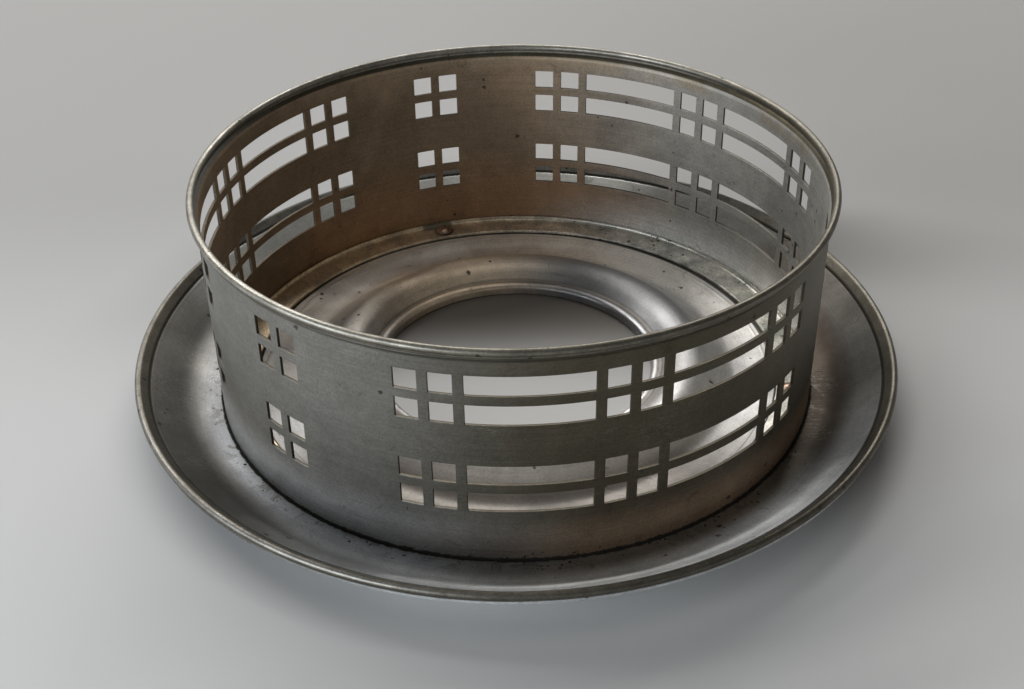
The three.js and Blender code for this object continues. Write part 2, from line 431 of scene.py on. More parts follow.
def new_group(kind, name, inputs, outputs):
    """A node group whose inputs and outputs are given as {label: socket kind}."""
    group = bpy.data.node_groups.new(name, kind)
    for in_out, sockets in (("INPUT", inputs), ("OUTPUT", outputs)):
        for label, socket_kind in sockets.items():
            group.interface.new_socket(name=label, in_out=in_out, socket_type=socket_kind)
    tree = Tree(group.nodes, group.links)
    given = tree.add("NodeGroupInput").outputs
    result = tree.add("NodeGroupOutput").inputs
    return group, tree, given, result


def new_surface_group(name, numbers, outputs):
    """A shader group that is given a position and numbers, and puts out numbers."""
    inputs = {"Position": VECTOR, **dict.fromkeys(numbers, NUMBER)}
    return new_group("ShaderNodeTree", name, inputs, dict.fromkeys(outputs, NUMBER))


def new_geometry_group(name, sizes):
    """A geometry group that is given a geometry and sizes as {label: value}, and puts out a geometry."""
    inputs = {"Geometry": GEOMETRY}
    for label, value in sizes.items():
        inputs[label] = COUNT if isinstance(value, int) else NUMBER
    return new_group("GeometryNodeTree", name, inputs, {"Geometry": GEOMETRY})


def ring_coordinates_group():
    """Distance from the axis in metres, height, and the direction round the ring without a seam."""
    group, tree, given, result = new_surface_group(
        "ring_coordinates", (), ("Radius", "Height", "East", "North"),
    )
    parts = tree.split(given["Position"])
    flat = tree.add("ShaderNodeCombineXYZ", {"X": parts["X"], "Y": parts["Y"]}).outputs[0]
    radius = tree.add("ShaderNodeVectorMath", {0: flat}, operation="LENGTH").outputs["Value"]
    tree.put(radius, result["Radius"])
    tree.put(parts["Z"], result["Height"])
    tree.put(tree.math("DIVIDE", parts["X"], radius), result["East"])
    tree.put(tree.math("DIVIDE", parts["Y"], radius), result["North"])
    return group


def polish_lines_group():
    """Fine lines that run round the ring, left by turning and polishing, and a few random scratches."""
    numbers = ("East", "North", "Across", "Lines per Metre", "Length Factor")
    group, tree, given, result = new_surface_group("polish_lines", numbers, ("Lines", "Scratches"))
    along = tree.add("ShaderNodeCombineXYZ", {
        "X": tree.times(given["East"], given["Length Factor"]),
        "Y": tree.times(given["North"], given["Length Factor"]),
        "Z": tree.times(given["Across"], given["Lines per Metre"]),
    }).outputs[0]
    tree.put(tree.noise(along, scale=1.0, detail=4.0, roughness=0.7), result["Lines"])
    hair_width = 0.006
    scratches = []
    for turn, stretch in ((0.5, 14), (-0.9, 11), (1.4, 17)):
        turned_space = tree.add("ShaderNodeMapping", {
            "Vector": given["Position"],
            "Rotation": (0.3 * turn, turn, 2 * turn),
            "Scale": (1, stretch, stretch),
        }).outputs[0]
        streak = tree.noise(turned_space, scale=55.0, detail=2.0, roughness=0.4)
        from_middle = tree.math("ABSOLUTE", tree.math("SUBTRACT", streak, 0.5))
        scratches.append(tree.falling(from_middle, 0.0, hair_width))
    patches = tree.ramp(tree.noise(given["Position"], scale=45.0), 0.48, 0.62)
    tree.put(tree.times(tree.largest(*scratches), patches), result["Scratches"])
    return group


def tarnish_group():
    """Cloudy patches of tarnish, and small sharp stains."""
    numbers = ("Cloud Scale", "Stain Scale")
    group, tree, given, result = new_surface_group("tarnish", numbers, ("Clouds", "Stains"))
    place = given["Position"]
    clouds = tree.noise(place, given["Cloud Scale"], detail=5.0, roughness=0.62, distortion=0.4)
    tree.put(tree.ramp(clouds, 0.36, 0.66), result["Clouds"])
    stains = tree.noise(place, given["Stain Scale"], detail=4.0, roughness=0.7, distortion=0.8)
    tree.put(tree.ramp(stains, 0.6, 0.72), result["Stains"])
    return group


def pits_group():
    """Small dark specks of uneven size that come in loose clusters."""
    group, tree, given, result = new_surface_group("pits", ("Scale", "Share", "Size"), ("Pits",))
    place = given["Position"]
    # The cells are bent a little, so that the specks aren't round.
    bend = 1.6 * MM
    uneven = tree.add("ShaderNodeTexNoise", {"Vector": place, "Scale": 1300.0, "Detail": 3.0})
    bent_place = tree.add(
        "ShaderNodeVectorMath",
        {0: uneven.outputs["Color"], 1: (bend, bend, bend), 2: place},
        operation="MULTIPLY_ADD",
    ).outputs[0]
    cells = tree.add("ShaderNodeTexVoronoi", {"Vector": bent_place, "Scale": given["Scale"]}).outputs
    chance = tree.add("ShaderNodeSeparateColor", {0: cells["Color"]}).outputs
    clusters = tree.ramp(tree.noise(place, scale=38.0, roughness=0.6), 0.4, 0.7, low=0.15, high=2.0)
    kept = tree.math("LESS_THAN", chance[0], tree.times(given["Share"], clusters))
    # Few specks are large: the size falls off with the fourth power of chance.
    size_factor = tree.math("ADD", tree.math("POWER", chance[1], 4.0), 0.35)
    inside = tree.math("SUBTRACT", tree.times(given["Size"], size_factor), cells["Distance"])
    tree.put(tree.times(tree.ramp(inside, 0.0, 0.05), kept), result["Pits"])
    return group


def grain_group():
    """Fine grain of a worn surface, and soft mottling a few millimetres across."""
    group, tree, given, result = new_surface_group("grain", (), ("Grain", "Mottle"))
    grain = tree.noise(given["Position"], scale=1500.0, roughness=0.65)
    tree.put(tree.ramp(grain, 0.3, 0.7), result["Grain"])
    mottle = tree.noise(given["Position"], scale=170.0, detail=4.0, roughness=0.62, distortion=0.4)
    tree.put(tree.ramp(mottle, 0.33, 0.67), result["Mottle"])
    return group


groups = {
    "ring": ring_coordinates_group(),
    "lines": polish_lines_group(),
    "tarnish": tarnish_group(),
    "pits": pits_group(),
    "grain": grain_group(),
}


class Metal:
    """One metal material under construction: its tree, its place on the ring and its shader."""

    def __init__(self, name):
        self.material = bpy.data.materials.new(name)
        self.material.use_nodes = True
        node_tree = self.material.node_tree
        node_tree.nodes.clear()
        self.tree = Tree(node_tree.nodes, node_tree.links)
        output = self.tree.add("ShaderNodeOutputMaterial")
        self.shader = self.tree.add("ShaderNodeBsdfPrincipled", {"Metallic": 0.85})
        self.tree.put(self.shader.outputs[0], output.inputs[0])
        self.position = self.tree.add("ShaderNodeTexCoord").outputs["Object"]
        ring = self.group("ring")
        self.radius = ring["Radius"]
        self.height = ring["Height"]
        self.east = ring["East"]
        self.north = ring["North"]

    def group(self, name, numbers=None):
        inputs = {"Position": self.position, **(numbers or {})}
        return self.tree.add("ShaderNodeGroup", inputs, node_tree=groups[name]).outputs

    def lines(self, across, per_metre, length_factor):
        return self.group("lines", {
            "East": self.east,
            "North": self.north,
            "Across": across,
            "Lines per Metre": per_metre,
            "Length Factor": length_factor,
        })

    def tarnish(self, cloud_scale, stain_scale):
        parts = self.group("tarnish", {"Cloud Scale": cloud_scale, "Stain Scale": stain_scale})
        return parts["Clouds"], parts["Stains"]

    def grain(self):
        parts = self.group("grain")
        return parts["Grain"], parts["Mottle"]

    def pits(self, scale, share, size):
        return self.group("pits", {"Scale": scale, "Share": share, "Size": size})["Pits"]

    def noise(self, scale, **settings):
        return self.tree.noise(self.position, scale, **settings)

    def tone(self, color, value, low, high):
        """The colour times a factor that runs from low to high with the value."""
        factor = self.tree.math("MULTIPLY_ADD", value, high - low, low)
        return self.tree.mix(1.0, color, factor, blend="MULTIPLY")

    def varied(self, color, *variations):
        """The colour made darker and lighter by each (value, spread)."""
        for value, spread in variations:
            color = self.tone(color, value, 1 - spread, 1 + spread)
        return color

    def stained(self, color, *stains):
        """The colour under each (mask, strength, stain colour), in their order."""
        for mask, strength, stain_color in stains:
            color = self.tree.mix(self.tree.times(mask, strength), color, stain_color)
        return color

    def facing(self, angle):
        """1 on the side of the ring at this angle in degrees, -1 on the opposite side."""
        across = self.tree.times(self.east, math.cos(math.radians(angle)))
        return self.tree.math("MULTIPLY_ADD", self.north, math.sin(math.radians(angle)), across)

    def side(self, angle, start, full, low=0.0, high=1.0):
        """A mask of the side at this angle, from where facing it passes start to where it passes full."""
        return self.tree.ramp(self.facing(angle), start, full, low, high)

    def beyond(self, start, full, low=0.0, high=1.0):
        """A mask that grows with the distance from the axis, between two radii in millimetres."""
        return self.tree.ramp(self.radius, start * MM, full * MM, low, high)

    def within(self, full, end):
        """1 nearer to the axis than the first radius, falling to 0 at the second."""
        return self.beyond(full, end, low=1.0, high=0.0)

    def above(self, start, full, low=0.0, high=1.0):
        """A mask that grows with the height, between two heights in millimetres."""
        return self.tree.ramp(self.height, start * MM, full * MM, low, high)

    def below(self, full, end):
        """1 under the first height, falling to 0 at the second."""
        return self.above(full, end, low=1.0, high=0.0)

    def radius_band(self, centre, half_width, softness):
        """1 on a band of the radius, in millimetres, falling to 0 over the softness."""
        away = self.tree.math("ABSOLUTE", self.tree.math("SUBTRACT", self.radius, centre * MM))
        return self.tree.falling(away, half_width * MM, (half_width + softness) * MM)

    def ragged_edge(self, depth):
        """An uneven length in metres of up to the depth in millimetres, to fray an edge with."""
        return self.tree.times(self.noise(scale=420.0, detail=5.0, roughness=0.75), depth * MM)

    def finish(self, color, roughness, height, bump_distance=0.12):
        """Joins up the shader; the bump distance is in millimetres."""
        depth = bump_distance * MM
        bump = self.tree.add("ShaderNodeBump", {"Height": height, "Distance": depth, "Strength": 1.0})
        self.tree.put(color, self.shader.inputs["Base Color"])
        self.tree.put(roughness, self.shader.inputs["Roughness"])
        self.tree.put(bump.outputs[0], self.shader.inputs["Normal"])
        return self.material


# Materials. Angles are in degrees, from 0 at the right of the photograph through 90 at the back.

def gallery_wall_metal():
    metal = Metal("tarnished_gallery_sheet")
    tree = metal.tree
    lines = metal.lines(metal.height, per_metre=2600.0, length_factor=2.6)
    clouds, stains = metal.tarnish(cloud_scale=20.0, stain_scale=210.0)
    grain, mottle = metal.grain()
    pits = metal.pits(scale=430.0, share=0.09, size=0.26)

    # Outside the sheet is olive tarnish at the front and cooler towards the left; the lighter grey at the
    # left is painted light, where the window on the left falls.
    outer = tree.mix(metal.side(210, 0.35, 0.98), OLIVE_TARNISH, LIT_COOL_GREY)
    # Low down at the front and right it turns brown.
    brown_low = tree.times(metal.below(5, 19), metal.side(300, 0.35, 0.9))
    brown = tree.mix(metal.side(320, 0.5, 0.95), DEEP_BROWN, PALE_BROWN)
    # Low at the front left it is lighter, painted light above the bright cove of the base.
    lit_low = tree.times(metal.below(10, 22), metal.side(228, 0.55, 1.0))
    outer = metal.stained(
        outer,
        (clouds, 0.22, WARM_GREY),
        (brown_low, 0.85, brown),
        (lit_low, 0.6, LIT_LOW_GREY),
    )

    # Inside it is brown at the back and left, redder low down, and grey on the right, partly painted light
    # where the window on the left falls.
    grey_lit_side = metal.side(15, 0.25, 0.95)
    inner = tree.mix(grey_lit_side, INNER_BROWN, INNER_GREY_LIT)
    red_low = tree.times(metal.below(10, 36), metal.side(105, 0.5, 0.95))
    # The front of the ring is the darkest inside: painted shade, which also keeps it from throwing the
    # window's light onto the plate.
    front_painted_shade = metal.side(270, 0.2, 0.8)
    inner = metal.stained(inner, (red_low, 0.7, INNER_RED), (front_painted_shade, 0.8, INNER_FRONT_SHADE))
    inner = metal.tone(inner, clouds, 1.1, 0.75)
    # Low on the right it is near white, a painted reflection of the lit plate, and just under the flare it is
    # lighter in patches, rubbed tarnish with a painted sheen.
    painted_reflection_foot = tree.times(grey_lit_side, metal.below(4, 18))
    rubbed_and_sheen = tree.times(metal.above(61.5, 64.5), tree.ramp(metal.noise(scale=70.0, detail=4.0), 0.42, 0.6))
    inner = metal.stained(inner, (painted_reflection_foot, 0.9, INNER_PAINTED_REFLECTION), (rubbed_and_sheen, 0.6, TAN_SHEEN))

    outside = metal.beyond(GALLERY_RADIUS - 0.55, GALLERY_RADIUS - 0.35)
    color = tree.mix(outside, inner, outer)
    # The sawn edges of the openings are dull.
    within_sheet = metal.radius_band(GALLERY_RADIUS - GALLERY_SHEET / 2, 0.3, 0.1)
    sawn = tree.times(within_sheet, metal.below(63, 64))
    color = metal.stained(color, (sawn, 0.85, SAWN_EDGE))
    color = metal.varied(color, (grain, 0.13), (mottle, 0.07), (lines["Lines"], 0.34))
    # Dirt gathers in the corner at the foot, with an uneven upper edge and crumbs above it.
    frayed_height = tree.math("SUBTRACT", metal.height, metal.ragged_edge(1.9))
    foot = tree.falling(frayed_height, 1.5 * MM, 2.0 * MM)
    crumbs = tree.times(metal.pits(scale=900.0, share=0.55, size=0.34), metal.below(2.4, 7.0))
    color = metal.stained(
        color,
        (stains, 0.3, DARK_STAIN_AND_SHADE),
        (pits, 0.8, DARK_STAIN_AND_SHADE),
        (lines["Scratches"], 0.3, BRIGHT_PLATE),
        (tree.largest(foot, crumbs), 0.92, DARK_STAIN_AND_SHADE),
    )

    roughness = tree.weighted_sum(
        0.5, (lines["Lines"], 0.12), (outside, -0.14), (clouds, 0.08), (foot, 0.3),
    )
    height = tree.weighted_sum(
        0.0,
        (lines["Lines"], 0.07),
        (metal.noise(scale=28.0, detail=1.0), 2.0),
        (grain, 0.04),
        (lines["Scratches"], -0.08),
        (pits, -0.25),
    )
    return metal.finish(color, roughness, height)


def plate_color(metal):
    """The base inside the gallery: tan towards the left, a painted warm reflection over the plating, grey
    elsewhere.
    """
    tree = metal.tree
    color = tree.mix(metal.side(135, 0.3, 1.0), PLATE_GREY, PLATE_TAN_REFLECTION)
    # The hump is darker at the right, painted shade over the window's highlight there, and the flat ring
    # round it is the lightest part, painted light.
    hump_shade = tree.times(metal.side(40, 0.6, 0.95), metal.within(57, 61))
    lit_ring = tree.times(metal.side(80, 0.1, 0.6), metal.beyond(64, 71))
    # At the left it is darker and cooler, painted shade.
    left_shade = metal.side(192, 0.45, 0.95)
    # The flat ring is darker at the front, behind the lower openings: painted shade that hides the window's
    # reflection there.
    front_painted_shade = tree.times(metal.side(272, 0.35, 0.8), metal.beyond(60, 67))
    return metal.stained(
        color,
        (hump_shade, 0.7, HUMP_SHADE),
        (lit_ring, 0.9, PLATE_PAINTED_LIGHT),
        (left_shade, 0.85, PLATE_LEFT_SHADE),
        (front_painted_shade, 0.9, PLATE_FRONT_SHADE),
    )


def flange_color(metal, lit_slope, lit_back):
    """The base outside the gallery, given the masks of the painted light on its slope at the front and on its
    back.
    """
    tree = metal.tree
    # At the right and behind the cove is brown tarnish deepened by painted shade, and darkest beside the
    # gallery at the right, painted shade over the window's reflection.
    brown_side = tree.times(metal.side(0, -0.15, 0.75), metal.beyond(101, 105, low=1.0, high=0.45))
    right_shade = metal.side(15, 0.4, 0.95)
    foot_shade = tree.times(metal.side(355, 0.75, 0.97), metal.within(99, 106))
    # On the left the slope is darker, painted shade, and the cove at the front left is lighter, a painted
    # highlight.
    left_slope_shade = tree.times(metal.side(185, 0.2, 0.9), metal.beyond(97, 104))
    cove_highlight = tree.times(metal.side(226, 0.4, 1.0), metal.within(94, 100))
    return metal.stained(
        FLANGE_GREY,
        (brown_side, 0.9, FLANGE_BROWN),
        (lit_slope, 0.85, FLANGE_LIT_SLOPE),
        (right_shade, 0.85, FLANGE_RIGHT_SHADE),
        (foot_shade, 0.95, FLANGE_FOOT_SHADE),
        (left_slope_shade, 0.85, FLANGE_SLOPE_SHADE),
        (cove_highlight, 0.85, COVE_HIGHLIGHT),
        (lit_back, 0.85, FLANGE_LIT_BACK),
    )


def base_dirt_and_shade(metal, beyond_wall, near_foot, lit_back):
    """Dirt at the foot of the gallery, and painted shade in the gap under the flange ring and in the crease
    at the rim.
    """
    tree = metal.tree
    # A ragged black line runs round the foot of the gallery, with crumbs beside it.
    frayed_radius = tree.math("SUBTRACT", metal.radius, metal.ragged_edge(1.6))
    creep = tree.math("SUBTRACT", frayed_radius, GALLERY_RADIUS * MM)
    black_line = tree.times(tree.falling(creep, -0.3 * MM, 0.15 * MM), beyond_wall)
    crumbs = tree.times(metal.pits(scale=880.0, share=0.5, size=0.34), near_foot)
    # Painted shade: the dark gap under the flange ring is wider at the right, and the dark crease at the rim
    # is left out at the back.
    narrow_gap = metal.radius_band(FLANGE_INNER, 0.4, 0.4)
    wide_gap = tree.times(metal.radius_band(FLANGE_INNER - 0.3, 0.7, 0.4), metal.side(35, 0.8, 0.95))
    gap_shade = tree.largest(narrow_gap, wide_gap)
    not_back = tree.falling(lit_back, 0.0, 1.0)
    crease_shade = tree.times(metal.radius_band(CREASE_RADIUS + 0.3, 0.2, 0.3), not_back)
    return tree.largest(black_line, crumbs, tree.times(gap_shade, 0.9), tree.times(crease_shade, 0.75))


def base_plate_metal():
    metal = Metal("worn_base_sheet")
    tree = metal.tree
    lines = metal.lines(metal.radius, per_metre=2200.0, length_factor=2.2)
    clouds, stains = metal.tarnish(cloud_scale=26.0, stain_scale=240.0)
    grain, mottle = metal.grain()
    pits = metal.pits(scale=400.0, share=0.12, size=0.28)

    beyond_wall = metal.beyond(90, 91)
    # painted light: the lighter slope at the front right and the lighter back of the flange
    lit_slope = tree.times(metal.side(300, 0.15, 0.8), metal.beyond(94, 100))
    lit_back = metal.side(100, 0.35, 0.65)
    color = tree.mix(beyond_wall, plate_color(metal), flange_color(metal, lit_slope, lit_back))
    color = metal.tone(color, clouds, 1.08, 0.8)
    color = metal.varied(color, (grain, 0.1), (mottle, 0.06), (lines["Lines"], 0.28))
    # Grey stains lie beside the foot of the gallery, and rust specks at the right front.
    near_foot = metal.radius_band(91.5, 1.5, 4.5)
    spread = tree.ramp(metal.noise(scale=150.0, detail=5.0, roughness=0.7, distortion=1.2), 0.55, 0.6)
    spread = tree.times(tree.times(spread, near_foot), beyond_wall)
    rust = tree.times(metal.pits(scale=560.0, share=0.5, size=0.3), metal.radius_band(95.5, 2.0, 4.0))
    rust = tree.times(rust, metal.side(330, 0.6, 0.9))
    # The valley beside the lip is darkened as well, painted shade that hides a highlight there.
    valley = metal.radius_band(VALLEY_RADIUS, 0.5, 0.7)
    dirt_and_shade = base_dirt_and_shade(metal, beyond_wall, near_foot, lit_back)
    color = metal.stained(
        color,
        (stains, 0.35, DARK_STAIN_AND_SHADE),
        (pits, 0.85, DARK_STAIN_AND_SHADE),
        (lines["Scratches"], 0.35, BRIGHT_PLATE),
        (spread, 0.6, GREY_STAIN),
        (rust, 0.85, RUST),
        (valley, 0.6, VALLEY_SHADE),
        (dirt_and_shade, 0.94, DARK_STAIN_AND_SHADE),
    )

    # The lip is smoother at the right, and the pale slope at the front is duller.
    smooth_lip = tree.times(metal.within(46, 49), metal.facing(40))
    roughness = tree.weighted_sum(
        0.36,
        (lines["Lines"], 0.14),
        (clouds, 0.08),
        (smooth_lip, -0.08),
        (tree.times(lit_slope, beyond_wall), 0.22),
        (valley, 0.15),
        (dirt_and_shade, 0.4),
    )
    # A fine pressed ridge runs round just inside the seat.
    ridge = metal.radius_band(RIDGE_RADIUS, 0.1, 0.5)
    height = tree.weighted_sum(
        0.0,
        (lines["Lines"], 0.07),
        (metal.noise(scale=34.0, detail=1.0), 1.5),
        (grain, 0.05),
        (lines["Scratches"], -0.08),
        (pits, -0.25),
        (ridge, 0.8),
    )
    return metal.finish(color, roughness, height)


def ring_wire_metal(name, sheen_color, tarnish_shade_color, lowest_light, seam_shade_height, tarnish_shade_within=0.0):
    """Wire lighter along its top, polish with a painted sheen, with painted shade where it meets the sheet
    and tarnish and painted shade within a radius.
    """
    metal = Metal(name)
    tree = metal.tree
    lines = metal.lines(metal.height, per_metre=3200.0, length_factor=3.0)
    clouds, stains = metal.tarnish(cloud_scale=34.0, stain_scale=240.0)
    grain, mottle = metal.grain()
    pits = metal.pits(scale=480.0, share=0.14, size=0.3)
    # The wire's top is lighter on the left and its back is lighter, polish and painted sheen where light
    # falls; at the front and right it keeps its tarnish, darkened by painted shade.
    top = metal.above(lowest_light, lowest_light + 1.2)
    left = metal.side(165, -0.5, 0.5, low=0.1)
    outer = metal.beyond(tarnish_shade_within, tarnish_shade_within + 0.5, low=0.1)
    sheen_back = metal.side(95, 0.4, 0.8, high=0.85)
    polish_and_sheen = tree.largest(tree.times(tree.times(top, left), outer), sheen_back)
    color = metal.stained(tree.mix(polish_and_sheen, tarnish_shade_color, sheen_color), (clouds, 0.5, tarnish_shade_color))
    color = metal.varied(color, (grain, 0.18), (mottle, 0.15))
    # painted shade: the wire darkens where it meets the sheet
    seam_shade = metal.below(seam_shade_height, seam_shade_height + 0.4)
    color = metal.stained(
        color,
        (stains, 0.4, DARK_STAIN_AND_SHADE),
        (pits, 0.8, DARK_STAIN_AND_SHADE),
        (seam_shade, 0.85, DARK_STAIN_AND_SHADE),
    )
    roughness = tree.weighted_sum(0.36, (lines["Lines"], 0.1), (clouds, 0.1))
    height = tree.weighted_sum(
        0.0,
        (lines["Lines"], 0.04),
        (metal.noise(scale=60.0, detail=2.0), 0.7),
        (grain, 0.08),
        (pits, -0.25),
    )
    return metal.finish(color, roughness, height)


def foot_ring_metal():
    metal = Metal("tarnished_flange_strip")
    tree = metal.tree
    lines = metal.lines(metal.radius, per_metre=2600.0, length_factor=3.0)
    clouds, stains = metal.tarnish(cloud_scale=40.0, stain_scale=240.0)
    grain, mottle = metal.grain()
    color = tree.mix(metal.side(165, -0.3, 0.9), STRIP_GREY, STRIP_BROWN)
    color = metal.tone(color, clouds, 1.1, 0.75)
    color = metal.varied(color, (grain, 0.2), (mottle, 0.2))
    # At the right rear it is green in patches and crusted with dark specks.
    green_side = metal.side(40, 0.5, 0.95)
    patches = tree.ramp(metal.noise(scale=120.0, detail=4.0), 0.45, 0.6)
    crust = metal.pits(scale=700.0, share=0.6, size=0.42)
    # Solder has run over the corner beside the rivet that the photograph shows.
    solder = tree.times(metal.side(108.4, 0.9975, 0.9988), metal.beyond(86.6, 88.4))
    color = metal.stained(
        color,
        (tree.times(patches, green_side), 0.45, VERDIGRIS),
        (tree.times(crust, green_side), 0.85, DARK_STAIN_AND_SHADE),
        (stains, 0.4, DARK_STAIN_AND_SHADE),
        (solder, 0.8, SOLDER),
    )
    fillet = metal.beyond(87.2, 88.2)
    roughness = tree.weighted_sum(0.42, (lines["Lines"], 0.12), (fillet, -0.12), (solder, 0.2))
    lumps = tree.times(solder, metal.noise(scale=500.0, detail=2.0))
    height = tree.weighted_sum(0.0, (lines["Lines"], 0.08), (crust, 0.3), (lumps, 3.0))
    return metal.finish(color, roughness, height)


def copper_metal():
    metal = Metal("old_copper")
    clouds, stains = metal.tarnish(cloud_scale=240.0, stain_scale=700.0)
    color = metal.tree.mix(clouds, COPPER, COPPER_TARNISH)
    # Painted shade darkens the corner under the edge of the head.
    edge = metal.below(FLANGE_TOP + 0.25, FLANGE_TOP + 0.7)
    color = metal.stained(color, (stains, 0.6, DARK_STAIN_AND_SHADE), (edge, 0.85, DARK_STAIN_AND_SHADE))
    roughness = metal.tree.weighted_sum(0.26, (clouds, 0.15))
    return metal.finish(color, roughness, metal.noise(scale=700.0), bump_distance=0.1)


# Pieces.

def base_plate():
    # Corners of the sheet's top as radius, height and rounding, from the lip of the hole to the rim.
    top = rounded_path([
        (LIP_RADIUS, LIP_BOTTOM, 0),
        (LIP_RADIUS, LIP_TOP, 1.5),
        (VALLEY_RADIUS, VALLEY_HEIGHT, 1.6),
        (HUMP_RADIUS, HUMP_CORNER_HEIGHT, 8.2),
        (FOOT_INNER_RADIUS, BASE_SHEET, 7),
        (FOOT_OUTER_RADIUS, BASE_SHEET, 15),
        (SEAT_RADIUS, SEAT_HEIGHT, 15),
        (COVE_CORNER, SEAT_HEIGHT, COVE_RADIUS),
        (CREASE_RADIUS, LEDGE_HEIGHT, 1.0),
        (LEDGE_RADIUS, LEDGE_HEIGHT, 0),
    ], arc_step=8)
    underside = offset_path(top, BASE_SHEET)
    profile = split_long_sides(underside + top[::-1], LONGEST_BASE_SIDE)
    piece = shade_by_area(turned("base_sheet", profile))
    finish_piece(piece, base_plate_metal(), "base_plate", "base_plate")


def base_rim_wire():
    profile = [Vector((WIRE_INNER_RADIUS, BASE_BEAD_BOTTOM))]
    bead_height = BASE_BEAD_BOTTOM + BASE_BEAD_RADIUS
    profile += arc_points(BASE_BEAD_CENTRE, bead_height, BASE_BEAD_RADIUS, start=-90, end=135, steps=20)
    piece = shade_by_area(turned("base_rim_bead", split_long_sides(profile, LONGEST_WIRE_SIDE)))
    metal = ring_wire_metal(
        "worn_base_bead",
        BASE_BEAD_SHEEN,
        BASE_BEAD_TARNISH_SHADE,
        lowest_light=LEDGE_HEIGHT + 1.4,
        seam_shade_height=LEDGE_HEIGHT + 0.5,
        tarnish_shade_within=BASE_BEAD_CENTRE,
    )
    finish_piece(piece, metal, "base_rim_wire", "base_rim_wire")


def gallery_rim_ring():
    outer = -math.degrees(math.acos((RIM_COLLAR_OUTER - RIM_BEAD_CENTRE) / RIM_BEAD_RADIUS))
    inner = 180 + math.degrees(math.acos((RIM_BEAD_CENTRE - RIM_COLLAR_INNER) / RIM_BEAD_RADIUS))
    profile = [Vector((RIM_COLLAR_INNER, RIM_COLLAR_BOTTOM)), Vector((RIM_COLLAR_OUTER, RIM_COLLAR_BOTTOM))]
    profile += arc_points(RIM_BEAD_CENTRE, RIM_BEAD_HEIGHT, RIM_BEAD_RADIUS, start=outer, end=inner, steps=24)
    piece = shade_by_area(turned("gallery_rim_bead", profile))
    metal = ring_wire_metal(
        "worn_gallery_bead",
        GALLERY_BEAD_SHEEN,
        GALLERY_BEAD_TARNISH_SHADE,
        lowest_light=RIM_BEAD_HEIGHT - 0.8,
        seam_shade_height=RIM_COLLAR_BOTTOM,
    )
    finish_piece(piece, metal, "gallery_rim_ring", "gallery_rim_ring")


def gallery_foot_ring():
    outer = GALLERY_RADIUS - GALLERY_SHEET - JOINT_GAP
    leg = outer - FLANGE_LEG_WIDTH
    profile = rounded_path([
        (FLANGE_INNER + 2, GALLERY_BOTTOM, 0),
        (outer, GALLERY_BOTTOM, 0.1),
        (outer, FLANGE_LEG_TOP, 0.08),
        (leg, FLANGE_LEG_TOP, 0.08),
        (leg, FLANGE_TOP, FLANGE_FILLET),
        (FLANGE_INNER, FLANGE_TOP, 0.35),
        (FLANGE_INNER, GALLERY_BOTTOM, 0.1),
        (FLANGE_INNER + 2, GALLERY_BOTTOM, 0),
    ], arc_step=20)[:-1]
    piece = shade_by_area(turned("gallery_foot_flange", split_long_sides(profile, LONGEST_FLANGE_SIDE)))
    finish_piece(piece, foot_ring_metal(), "gallery_foot_ring", "gallery_foot_ring")


def opening_spans():
    """Start and end angle of every opening in a row, right round the ring."""
    spans = []
    motifs = [(centre, LONG_PANEL) for centre in LONG_PANEL_CENTRES]
    motifs += [(centre, SMALL_MOTIF) for centre in SMALL_MOTIF_CENTRES]
    width_of = {"square": SQUARE_ANGLE, "slot": SLOT_ANGLE}
    for centre, columns in motifs:
        total = sum(width_of[column] for column in columns) + BAR_ANGLE * (len(columns) - 1)
        start = centre - total / 2
        for column in columns:
            spans.append((start, start + width_of[column]))
            start += width_of[column] + BAR_ANGLE
    return sorted(spans)


def opening_rows():
    """Bottom and top height of the four rows of openings."""
    pitch = OPENING_HEIGHT + THIN_BAR
    upper = LOWEST_OPENING + pitch + OPENING_HEIGHT + MIDDLE_BAND
    bottoms = (LOWEST_OPENING, LOWEST_OPENING + pitch, upper, upper + pitch)
    return [(bottom, bottom + OPENING_HEIGHT) for bottom in bottoms]


def filled_steps(stops, longest):
    """The stops, with even steps between them so that none is longer than the given one."""
    steps = []
    for first, second in zip(stops, stops[1:]):
        count = max(1, math.ceil((second - first) / longest))
        steps += [first + (second - first) * step / count for step in range(count)]
    return steps + [stops[-1]]


def flat_gallery_sheet(name):
    """The strip before it is rolled: X is the angle in radians, Z the height; openings are marked faces."""
    spans = opening_spans()
    rows = opening_rows()
    before_first = 10
    first_angle = spans[0][0] - before_first
    edges = [angle for span in spans for angle in span]
    angles = filled_steps([first_angle] + edges + [first_angle + 360], LONGEST_SHEET_ANGLE)
    levels = [GALLERY_BOTTOM] + [level for row in rows for level in row] + [FLARE_START]
    heights = filled_steps(levels, LONGEST_SHEET_SIDE)
    for step in range(1, FLARE_STEPS + 1):
        heights.append(FLARE_START + (FLARE_TOP - FLARE_START) * step / FLARE_STEPS)
    vertices = [(math.radians(angle), 0, height * MM) for angle in angles for height in heights]
    count = len(heights)
    faces = []
    opened = []
    for column in range(len(angles) - 1):
        middle_angle = (angles[column] + angles[column + 1]) / 2
        in_span = any(start < middle_angle < end for start, end in spans)
        for level in range(count - 1):
            middle_height = (heights[level] + heights[level + 1]) / 2
            corner = column * count + level
            faces.append((corner, corner + count, corner + count + 1, corner + 1))
            opened.append(in_span and any(low < middle_height < high for low, high in rows))
    sheet = mesh_object(name, vertices, faces)
    mark = sheet.data.attributes.new("opening", "BOOLEAN", "FACE")
    mark.data.foreach_set("value", opened)
    return sheet


